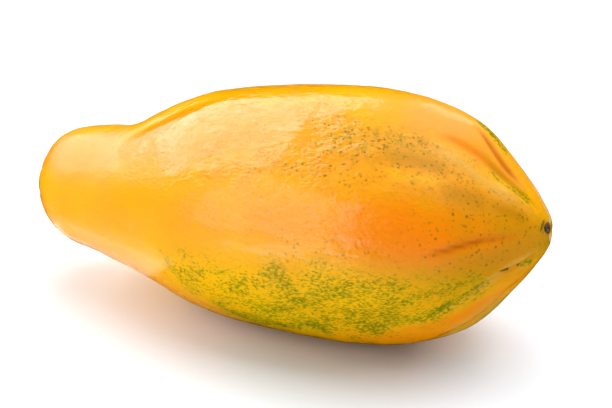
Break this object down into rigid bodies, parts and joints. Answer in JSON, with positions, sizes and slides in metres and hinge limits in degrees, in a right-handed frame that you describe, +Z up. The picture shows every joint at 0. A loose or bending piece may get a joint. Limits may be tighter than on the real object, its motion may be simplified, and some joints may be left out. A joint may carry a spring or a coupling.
{
  "type": "papaya",
  "caption": "Whole ripe papaya with a rounded neck, a wide belly and a lobed blossom end, lying on its side on a small flat spot.",
  "frame": {"origin": "under the middle of the fruit's box, level with the flat spot it rests on", "axes": "+X from the stem end to the blossom end, +Z up as it lies"},
  "size_m": [0.2578, 0.1202, 0.1211],
  "materials": {
    "skin": "waxy ripe papaya skin, yellow-orange with a red-orange blush and green mottling, semi-gloss"
  },
  "bodies": {
    "root": {"papaya": "skin"}
  },
  "joints": []
}
